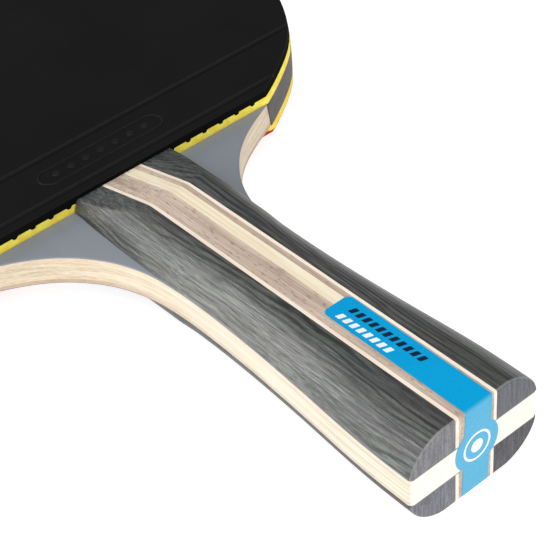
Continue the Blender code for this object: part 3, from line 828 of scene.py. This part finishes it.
def topsheet(name, side, trims, mat, node):
    """A grid across the face, with fine rows at the moulded lines, and the
    leaning cut wall below it."""
    top_line = spread(trim_line(trims[2]), SHARES)
    low_line = spread(trim_line(trims[1]), SHARES)
    shares = fractions(top_line)
    front = top_line[0][1]

    def side_at(y):
        for i in range(len(top_line) - 1):
            (x0, y0), (x1, y1) = top_line[i], top_line[i + 1]
            if y0 <= y <= y1:
                t = (y - y0) / max(y1 - y0, 1e-9)
                return x0 + (x1 - x0) * t, shares[i] + (shares[i + 1] - shares[i]) * t
        return top_line[0][0], 0.0
    rows = [front + d for d in (0.0, 0.03, 0.08, 0.16)]
    y = front + 0.3
    while y < 119.0:
        rows.append(y)
        y += 0.16
    lines = []
    for y in rows:
        x, share = side_at(y)
        lines.append((x, y, share))
    lines += [(x, y, q) for (x, y), q in zip(top_line, shares) if y > 119.3]
    tip = lines.pop()
    edge = [0.0, 0.03, 0.08, 0.16]
    inner_count = 26
    zt, zb = SHEET_Z1, SHEET_Z0
    r = 0.16

    def drop(d):
        return 0.0 if d >= r else r - math.sqrt(max(r * r - (r - d) ** 2, 0.0))
    bm = bmesh.new()
    grid = []
    for w, y, q in lines:
        scale = min(1.0, w / 0.8)
        left = [-w + e * scale for e in edge]
        mid = [(-w + 0.3 * scale) + (2 * w - 0.6 * scale) * k / (inner_count - 1) for k in range(inner_count)]
        cols = left + mid + [-v for v in reversed(left)]
        row = []
        for x in cols:
            d = max(min(w - abs(x), y - front), 0.0)
            z = zt - drop(d) + ridge_height(y) * smooth_step(0.0, 0.5, d)
            z -= 0.010 * (0.5 + 0.5 * wander(9 + side, x, y, 0.0, 0.06))
            row.append(bm.verts.new(W(x, y, side * z)))
        grid.append(row)
    m = len(grid[0])
    for a, b in zip(grid, grid[1:]):
        for k in range(m - 1):
            bm.faces.new((a[k], a[k + 1], b[k + 1], b[k]))
    point = bm.verts.new(W(0.0, tip[1], side * (zt - drop(0.0))))
    for k in range(m - 1):
        bm.faces.new((grid[-1][k], grid[-1][k + 1], point))
    # the boundary, with the place of each point at the foot of the wall
    feet = spread(low_line, [q for _, _, q in lines] + [1.0])
    loop = []
    w0, wb = lines[0][0], low_line[0][0]
    for v in grid[0]:
        loop.append((v, (v.co.x / MM * wb / w0, low_line[0][1])))
    for row, foot in zip(grid[1:], feet[1:-1]):
        loop.append((row[-1], foot))
    loop.append((point, (0.0, low_line[-1][1])))
    for row, foot in reversed(list(zip(grid[1:], feet[1:-1]))):
        loop.append((row[0], (-foot[0], foot[1])))
    previous = [v for v, _ in loop]
    start = [(v.co.x / MM, v.co.y / MM - Y0) for v, _ in loop]
    for t in (0.35, 0.7, 1.0):
        z = (zt - r) + (zb - zt + r) * t
        ring = []
        for (x, y), (_, (fx, fy)) in zip(start, loop):
            ring.append(bm.verts.new(W(x + (fx - x) * t, y + (fy - y) * t, side * z)))
        for i in range(len(ring)):
            j = (i + 1) % len(ring)
            bm.faces.new((previous[i], previous[j], ring[j], ring[i]))
        previous = ring
    bm.faces.new(previous)
    return new_object(name, bm, mat, (node,), 50)


topsheet("rubber_sheet_black", 1, TRIM_UPPER, M_BLACK, "topsheet_black")
topsheet("rubber_sheet_red", -1, TRIM_LOWER, M_RED, "topsheet_red")


# The pimples on the inner side of a topsheet show at the straight front cut,
# where each rounded foot sits in the sponge.
def pimples(name, side, trims, mat):
    pitch_x, pitch_y, radius, depth = 4.45, 1.285, 0.70, 0.52
    front = trims[1][1]
    lean_rate = (trims[1][1] - trims[0][1]) / (SPONGE_Z1 - SPONGE_Z0)
    reach = trim_line(trims[1])[0][0] - 0.8
    bm = bmesh.new()
    for j in range(2):
        y = front + 0.22 + 0.5 * pitch_y * j
        for i in range(-12, 13):
            x = 17.15 - 4 * pitch_x + pitch_x * i + (0.5 * pitch_x if j else 0.0)
            if abs(x) > reach:
                continue
            rings = []
            for share in (0.0, 0.06, 0.2, 0.42, 0.7, 1.0):
                down = depth * (1.0 - share)
                r = radius * math.sqrt(max(1.0 - 0.97 * (down / depth) ** 2, 0.0))
                wall = front - lean_rate * down - 0.012
                ring = []
                for k in range(24):
                    a = 2 * math.pi * k / 24
                    ring.append((x + r * math.cos(a), max(y + r * math.sin(a), wall), side * (SPONGE_Z1 - down)))
                rings.append(ring)
            rings.append([(px, py, side * (SHEET_Z0 + 0.05)) for px, py, _ in rings[-1]])
            if min(p[1] for p in rings[-1]) > front + 0.1:
                continue
            stack(bm, rings if side > 0 else list(reversed(rings)))
    return new_object(name, bm, mat, (), 60)


pimples("pimple_feet_black", 1, TRIM_UPPER, M_BLACK)
pimples("pimple_feet_red", -1, TRIM_LOWER, M_RED)


# A plain moulded mark lies between the two lines: an open pill-shaped frame
# with a row of round studs.
def raised_outline(bm, centre_line, half, z_base, height, side):
    """A low bead of half-round section along a closed line."""
    n = len(centre_line)
    rings = []
    for i, (x, y) in enumerate(centre_line):
        a, b = centre_line[i - 1], centre_line[(i + 1) % n]
        dx, dy = b[0] - a[0], b[1] - a[1]
        d = math.hypot(dx, dy)
        nx, ny = dy / d, -dx / d
        ring = []
        for k in range(7):
            t = math.pi * k / 6
            ring.append((x + nx * half * math.cos(t), y + ny * half * math.cos(t),
                         side * (z_base + height * math.sin(t))))
        ring.append((x - nx * half * 0.6, y - ny * half * 0.6, side * (z_base - 0.05)))
        ring.append((x + nx * half * 0.6, y + ny * half * 0.6, side * (z_base - 0.05)))
        rings.append([bm.verts.new(W(*p)) for p in ring])
    m = len(rings[0])
    for i in range(n):
        a, b = rings[i], rings[(i + 1) % n]
        for k in range(m):
            j = (k + 1) % m
            bm.faces.new((a[k], a[j], b[j], b[k]))


def stud(bm, x, y, radius, z_base, height, side):
    rings = []
    for r, h in ((0.9, -0.05), (1.0, 0.0), (0.92, 0.45), (0.72, 0.82), (0.40, 1.0)):
        z = z_base + (height * h if h > 0 else h)
        rings.append([(x + radius * r * math.cos(2 * math.pi * k / 28), y + radius * r * math.sin(2 * math.pi * k / 28),
                       side * z) for k in range(28)])
    stack(bm, rings if side > 0 else list(reversed(rings)))


def moulded_mark(name, side, mat):
    x0, x1, y0, y1 = -14.6, 16.8, 106.4, 111.4
    r = 0.5 * (y1 - y0)
    line = []
    for k in range(20):
        a = -0.5 * math.pi + math.pi * k / 19
        line.append((x1 - r + r * math.cos(a), 0.5 * (y0 + y1) + r * math.sin(a)))
    steps = 30
    for k in range(1, steps):
        line.append((x1 - r - (x1 - x0 - 2 * r) * k / steps, y1))
    for k in range(20):
        a = 0.5 * math.pi + math.pi * k / 19
        line.append((x0 + r + r * math.cos(a), 0.5 * (y0 + y1) + r * math.sin(a)))
    for k in range(1, steps):
        line.append((x0 + r + (x1 - x0 - 2 * r) * k / steps, y0))
    bm = bmesh.new()
    raised_outline(bm, line, 0.30, SHEET_Z1, 0.16, side)
    for k in range(7):
        x = x0 + 4.2 + (x1 - x0 - 8.4) * k / 6
        stud(bm, x, 0.5 * (y0 + y1), 0.95, SHEET_Z1, 0.18, side)
    return new_object(name, bm, mat, (), 60)


moulded_mark("moulded_mark_black", 1, M_BLACK)
moulded_mark("moulded_mark_red", -1, M_RED)


# ------------------------------------------------------------------ handle
def bevel_height(y):
    run = BEVEL_END - BEVEL_START
    return HANDLE_HALF - (HANDLE_HALF - BEVEL_END_HEIGHT) * (y - BEVEL_START) / run


def butt_inset(y):
    if y >= BUTT_ROUND:
        return 0.0
    return BUTT_ROUND - math.sqrt(max(BUTT_ROUND ** 2 - (BUTT_ROUND - y) ** 2, 0.0))


def scale_stations():
    out = [0.0, 0.012, 0.04, 0.09, 0.16, 0.25, 0.35, 0.45]
    y = 1.5
    while y < 78.0:
        out.append(y)
        y += 1.5
    while y < BEVEL_END - 0.2:
        out.append(y)
        y += 0.35
    out.append(BEVEL_END)
    return out


STATIONS = scale_stations()


def top_of(y):
    """Height of the scale's flat top, with the kink eased by sanding."""
    return soft_min(HANDLE_HALF - butt_inset(y), bevel_height(y), 0.22)


def centre_strip(name, node, x0, x1, side, mat):
    a, b = x0 + 0.25 * GLUE, x1 - 0.25 * GLUE
    count = max(3, int((b - a) / 0.7))
    rings = []
    for y in STATIONS:
        left, right = a + lean(y), b + lean(y)
        ring = [(left, y, side * GLUE_PLANE), (right, y, side * GLUE_PLANE)]
        for k in range(count + 1):
            x = right + (left - right) * k / count
            z = top_of(y) - 0.02 * (0.5 + 0.5 * wander(11, x, y * 0.25, side, 0.35))
            ring.append((x, y, side * z))
        rings.append(ring)
    bm = bmesh.new()
    stack(bm, rings if side < 0 else list(reversed(rings)))
    return new_object(name, bm, mat, (node,), 34)


def outer_block(name, node, reach, hand, side, mat):
    """reach is the distance of the strips' outer side from the centre line."""
    rings = []
    for y in STATIONS:
        inner = reach + 0.25 * GLUE + hand * lean(y)
        inset = butt_inset(y)
        w = scale_half_width(y) - inset
        top = HANDLE_HALF - inset
        run = 8.1 - 0.018 * y
        crown = w - run
        rise = top - SIDE_HEIGHT
        low = (GLUE_PLANE - SIDE_HEIGHT) / rise
        start = math.asin(min(low ** (FLANK_POWER / 2), 1.0))
        ring = [(inner, GLUE_PLANE)]
        count = 40
        for k in range(count + 1):
            t = start + (0.5 * math.pi - start) * k / count
            u = math.cos(t) ** (2 / FLANK_POWER) if k < count else 0.0
            v = math.sin(t) ** (2 / FLANK_POWER)
            ring.append((crown + run * u, SIDE_HEIGHT + rise * v))
        for k in (1, 2, 3):
            ring.append((crown + (inner - crown) * k / 3, top))
        points = []
        bevel = bevel_height(y)
        for i, (px, pz) in enumerate(ring):
            if i > 0:
                pz = soft_min(pz, bevel, 0.22)
                if GLUE_PLANE + 0.6 < pz:
                    pz -= 0.02 * (0.5 + 0.5 * wander(11, hand * px, y * 0.25, side, 0.35))
                pz = max(pz, GLUE_PLANE)
            points.append((hand * px, y, side * pz))
        rings.append(points)
    bm = bmesh.new()
    stack(bm, rings)
    return new_object(name, bm, mat, (node,), 34)


STRIP_LOOKS = {
    "veneer_left": (M_VENEER, "strip_veneer"), "mauve": (M_MAUVE, "strip_mauve"),
    "cream_left": (M_CREAM, "strip_cream"), "tan_line": (M_TAN, "strip_tan"),
    "cream_right": (M_CREAM, "strip_cream"), "brown": (M_BROWN, "strip_brown"),
    "veneer_right": (M_VENEER, "strip_veneer"),
}
UPPER_STRIPS = [("veneer_left", -5.06, -4.26), ("mauve", -4.26, 0.56), ("cream_left", 0.56, 1.32),
                ("tan_line", 1.32, 1.50), ("cream_right", 1.50, 3.18), ("brown", 3.18, 4.36),
                ("veneer_right", 4.36, 5.06)]
LOWER_STRIPS = [("veneer_left", -5.06, -4.26), ("mauve", -4.26, 0.20), ("cream_left", 0.20, 0.94),
                ("tan_line", 0.94, 1.12), ("cream_right", 1.12, 2.70), ("brown", 2.70, 3.70),
                ("veneer_right", 3.70, 4.50)]
for place, side, strips in (("upper", 1.0, UPPER_STRIPS), ("lower", -1.0, LOWER_STRIPS)):
    for hand, word, k, reach in ((-1.0, "left", 0, -strips[0][1]), (1.0, "right", 1, strips[-1][2])):
        outer_block(f"grip_{place}_dark_{word}", f"scale_{place}_dark_{word}", reach, hand, side,
                    M_DARK[k + (0 if side > 0 else 2)])
    for part, x0, x1 in strips:
        mat, slot = STRIP_LOOKS[part]
        centre_strip(f"grip_{place}_{part}", f"scale_{place}_{part}", x0, x1, side, mat)


# ------------------------------------------------------------------ label
LABEL_LEFT, LABEL_RIGHT, LABEL_FAR = -2.60, 4.00, 36.1
LABEL_DRIFT = -0.80
LABEL_IN, LABEL_OUT = 0.015, 0.10
MED_X, MED_Z, MED_R = 0.30, 0.50, 5.3


def label():
    """Film on the flat top, round the butt's edge and down the butt, in one
    piece with the round end on the butt."""
    columns = [LABEL_LEFT, LABEL_LEFT + 0.10, LABEL_LEFT + 0.30, LABEL_LEFT + 0.62, LABEL_LEFT + 1.2]
    mid = 0.5 * (LABEL_LEFT + LABEL_RIGHT)
    columns = columns + [mid] + [2 * mid - c for c in reversed(columns)]
    corner = 1.2

    def far(x):
        d = min(x - LABEL_LEFT, LABEL_RIGHT - x)
        if d >= corner:
            return LABEL_FAR
        return LABEL_FAR - (corner - math.sqrt(max(corner ** 2 - (corner - d) ** 2, 0.0)))

    def path(x, lift):
        pts = []
        y_far = far(x)
        for k in range(13):
            y = y_far + (BUTT_ROUND - y_far) * k / 12
            pts.append((x, y, HANDLE_HALF + lift))
        r = BUTT_ROUND + lift
        for k in range(1, 7):
            a = math.radians(90.0 + 15.0 * k)
            pts.append((x, BUTT_ROUND + r * math.cos(a), HANDLE_HALF - BUTT_ROUND + r * math.sin(a)))
        return pts
    bm = bmesh.new()
    outer = [[bm.verts.new(W(*p)) for p in path(x, LABEL_OUT)] for x in columns]
    inner = [[bm.verts.new(W(*p)) for p in path(x, LABEL_IN)] for x in columns]
    rows = len(outer[0])
    for a, b, c, d in zip(outer, outer[1:], inner, inner[1:]):
        for k in range(rows - 1):
            bm.faces.new((a[k], a[k + 1], b[k + 1], b[k]))
            bm.faces.new((c[k], d[k], d[k + 1], c[k + 1]))
    for k in range(rows - 1):
        bm.faces.new((outer[0][k + 1], outer[0][k], inner[0][k], inner[0][k + 1]))
        bm.faces.new((outer[-1][k], outer[-1][k + 1], inner[-1][k + 1], inner[-1][k]))
    for i in range(len(columns) - 1):
        bm.faces.new((outer[i][0], outer[i + 1][0], inner[i + 1][0], inner[i][0]))
    # the part on the butt: the strip and the round end as one sheet
    bottom = -HANDLE_HALF + BUTT_ROUND

    start_z = HANDLE_HALF - BUTT_ROUND

    def side_x(x, z):
        """A label side on the butt runs a little sideways on its way down."""
        return x + LABEL_DRIFT * (start_z - z) / (start_z - bottom)

    def meet(x, upward):
        """Height where the slanted side x meets the round end."""
        z = MED_Z
        for _ in range(12):
            reach = math.sqrt(MED_R ** 2 - (side_x(x, z) - MED_X) ** 2)
            z = MED_Z + (reach if upward else -reach)
        return z

    def butt_edge():
        pts = []
        za, zb = meet(LABEL_LEFT, True), meet(LABEL_LEFT, False)
        a0 = math.atan2(za - MED_Z, side_x(LABEL_LEFT, za) - MED_X)
        a1 = math.atan2(zb - MED_Z, side_x(LABEL_LEFT, zb) - MED_X) + 2 * math.pi
        for k in range(25):
            a = a0 + (a1 - a0) * k / 24
            pts.append((MED_X + MED_R * math.cos(a), MED_Z + MED_R * math.sin(a)))
        left, right = LABEL_LEFT + LABEL_DRIFT, LABEL_RIGHT + LABEL_DRIFT
        pts.append((left, bottom + 0.25))
        pts.append((left + 0.08, bottom + 0.07))
        pts.append((left + 0.28, bottom))
        pts.append((right - 0.28, bottom))
        pts.append((right - 0.08, bottom + 0.07))
        pts.append((right, bottom + 0.25))
        za, zb = meet(LABEL_RIGHT, True), meet(LABEL_RIGHT, False)
        a0 = math.atan2(zb - MED_Z, side_x(LABEL_RIGHT, zb) - MED_X)
        a1 = math.atan2(za - MED_Z, side_x(LABEL_RIGHT, za) - MED_X)
        for k in range(25):
            a = a0 + (a1 - a0) * k / 24
            pts.append((MED_X + MED_R * math.cos(a), MED_Z + MED_R * math.sin(a)))
        return pts
    edge = butt_edge()
    out_row = [c[-1] for c in outer]
    in_row = [c[-1] for c in inner]
    front = [bm.verts.new(W(x, -LABEL_OUT, z)) for x, z in edge]
    back = [bm.verts.new(W(x, -LABEL_IN, z)) for x, z in edge]
    # out_row runs left to right along the top; edge runs down the left side,
    # along the bottom and up the right side
    bm.faces.new(list(reversed(out_row)) + front)
    bm.faces.new(list(reversed(list(reversed(in_row)) + back)))
    for k in range(len(edge) - 1):
        bm.faces.new((front[k], front[k + 1], back[k + 1], back[k]))
    bm.faces.new((out_row[0], front[0], back[0], in_row[0]))
    bm.faces.new((front[-1], out_row[-1], in_row[-1], back[-1]))
    return new_object("label_film", bm, M_LABEL, ("handle_label",), 50)


label()


def prism(bm, poly, low, high, turn):
    """A thin closed sheet from a flat polygon; turn maps (u, v, h) to design."""
    a = [bm.verts.new(W(*turn(u, v, low))) for u, v in poly]
    b = [bm.verts.new(W(*turn(u, v, high))) for u, v in poly]
    n = len(poly)
    for i in range(n):
        j = (i + 1) % n
        bm.faces.new((a[i], a[j], b[j], b[i]))
    bm.faces.new(list(reversed(a)))
    bm.faces.new(b)


def on_top(u, v, h):
    return (u, v, HANDLE_HALF + h)


def on_butt(u, v, h):
    return (u, -h, v)


def slanted(x0, x1, y0, y1, slant, r=0.10):
    """A slanted block with small round corners; the row runs along y."""
    base = [(x0, y0), (x1, y0 - slant), (x1, y1 - slant), (x0, y1)]
    out = []
    n = len(base)
    for i, p in enumerate(base):
        a, b = base[i - 1], base[(i + 1) % n]
        for q in (a, b):
            d = math.dist(p, q)
            out.append((p[0] + (q[0] - p[0]) * r / d, p[1] + (q[1] - p[1]) * r / d))
    return out


INK_LOW, INK_HIGH = LABEL_OUT - 0.01, LABEL_OUT + 0.012


def ink_row(name, mat, x0, x1, y_start, y_end, count, fill, slant):
    bm = bmesh.new()
    pitch = (y_end - y_start) / count
    for k in range(count):
        y0 = y_start + pitch * k
        prism(bm, slanted(x0, x1, y0, y0 + pitch * fill, slant), INK_LOW, INK_HIGH, on_top)
    return new_object(name, bm, mat, (), 30)


ink_row("label_blocks_navy", M_NAVY, 0.85, 2.45, 33.0, 13.6, 11, 0.62, 0.55)
ink_row("label_blocks_white", M_WHITE, -1.75, -0.25, 33.6, 19.4, 8, 0.62, 0.55)


def butt_mark():
    """A plain ring with a filled round inside it."""
    bm = bmesh.new()
    outer_r, inner_r, count = 3.35, 2.85, 56
    rows = []
    for r, h in ((inner_r, INK_LOW), (outer_r, INK_LOW), (outer_r, INK_HIGH), (inner_r, INK_HIGH)):
        rows.append([bm.verts.new(W(*on_butt(MED_X + r * math.cos(2 * math.pi * k / count),
                                             MED_Z + r * math.sin(2 * math.pi * k / count), h)))
                     for k in range(count)])
    for a, b in zip(rows, rows[1:] + rows[:1]):
        for k in range(count):
            j = (k + 1) % count
            bm.faces.new((a[k], a[j], b[j], b[k]))
    poly = [(MED_X + 1.45 * math.cos(2 * math.pi * k / 40), MED_Z + 1.45 * math.sin(2 * math.pi * k / 40))
            for k in range(40)]
    prism(bm, poly, INK_LOW, INK_HIGH, on_butt)
    return new_object("label_ring_white", bm, M_WHITE, (), 30)


butt_mark()


# ------------------------------------------------------------------ stage
def stage_floor():
    """The paddle rests on the handle's far end and on the tip of the head, so
    the floor is a little oblique to the paddle's own frame."""
    bm = bmesh.new()
    slope = (HANDLE_HALF - SHEET_Z1) / (BLADE_LENGTH - BEVEL_START)
    size = 4000.0
    corners = []
    for x, y in ((-size, -size), (size, -size), (size, size), (-size, size)):
        corners.append(bm.verts.new(W(x, y, -HANDLE_HALF - 0.02 + slope * (y - BEVEL_START))))
    bm.faces.new(corners)
    mesh = bpy.data.meshes.new("floor")
    bm.to_mesh(mesh)
    bm.free()
    mat = bpy.data.materials.new("floor_white")
    mat.use_nodes = True
    bsdf = mat.node_tree.nodes["Principled BSDF"]
    bsdf.inputs["Base Color"].default_value = (0.50, 0.50, 0.50, 1.0)
    bsdf.inputs["Roughness"].default_value = 0.9
    bsdf.inputs["Specular IOR Level"].default_value = 0.1
    bsdf.inputs["Emission Color"].default_value = (1.0, 1.0, 1.0, 1.0)
    bsdf.inputs["Emission Strength"].default_value = 0.78
    mesh.materials.append(mat)
    floor = bpy.data.objects.new("floor", mesh)
    bpy.context.scene.collection.objects.link(floor)


stage_floor()

world = bpy.data.worlds.new("studio")
world.use_nodes = True
background = world.node_tree.nodes["Background"]
background.inputs["Color"].default_value = (1.0, 1.0, 1.0, 1.0)
background.inputs["Strength"].default_value = 0.22
bpy.context.scene.world = world

AIM = Vector(W(5.0, 70.0, 0.0))


def softbox(name, azimuth, elevation, distance, width, height, radiance, colour=(1.0, 1.0, 1.0)):
    """Azimuth is measured from +X towards +Y, in degrees."""
    a, e = math.radians(azimuth), math.radians(elevation)
    light = bpy.data.lights.new(name, 'AREA')
    light.shape = 'RECTANGLE'
    light.size, light.size_y = width, height
    light.energy = radiance * math.pi * width * height
    light.color = colour
    obj = bpy.data.objects.new(name, light)
    bpy.context.scene.collection.objects.link(obj)
    where = AIM + distance * Vector((math.cos(e) * math.cos(a), math.cos(e) * math.sin(a), math.sin(e)))
    obj.location = where
    obj.rotation_mode = 'QUATERNION'
    obj.rotation_quaternion = (where - AIM).to_track_quat('Z', 'Y')
    return obj


softbox("softbox_left", 150.0, 25.0, 1.3, 1.1, 0.8, 4.0)
softbox("softbox_front", 262.0, 32.0, 1.3, 1.2, 0.7, 3.0)
softbox("softbox_top", 215.0, 72.0, 1.4, 1.2, 1.0, 2.2)

# ------------------------------------------------------------------ camera
camera_data = bpy.data.cameras.new("camera")
camera_data.sensor_width = 36.0
camera_data.lens = 115.19
camera_data.clip_start, camera_data.clip_end = 0.01, 20.0
camera = bpy.data.objects.new("camera", camera_data)
bpy.context.scene.collection.objects.link(camera)
right = Vector((0.751775, -0.656047, -0.066612))
up = Vector((0.470624, 0.463036, 0.751073))
forward = Vector((0.461895, 0.595987, -0.656850))
matrix = Matrix((right, up, -forward)).transposed().to_4x4()
matrix.translation = Vector(W(-153.515, -145.705, 226.056))
camera.matrix_world = matrix
bpy.context.scene.camera = camera

bpy.context.scene.view_settings.view_transform = 'Standard'
bpy.context.scene.view_settings.look = 'None'
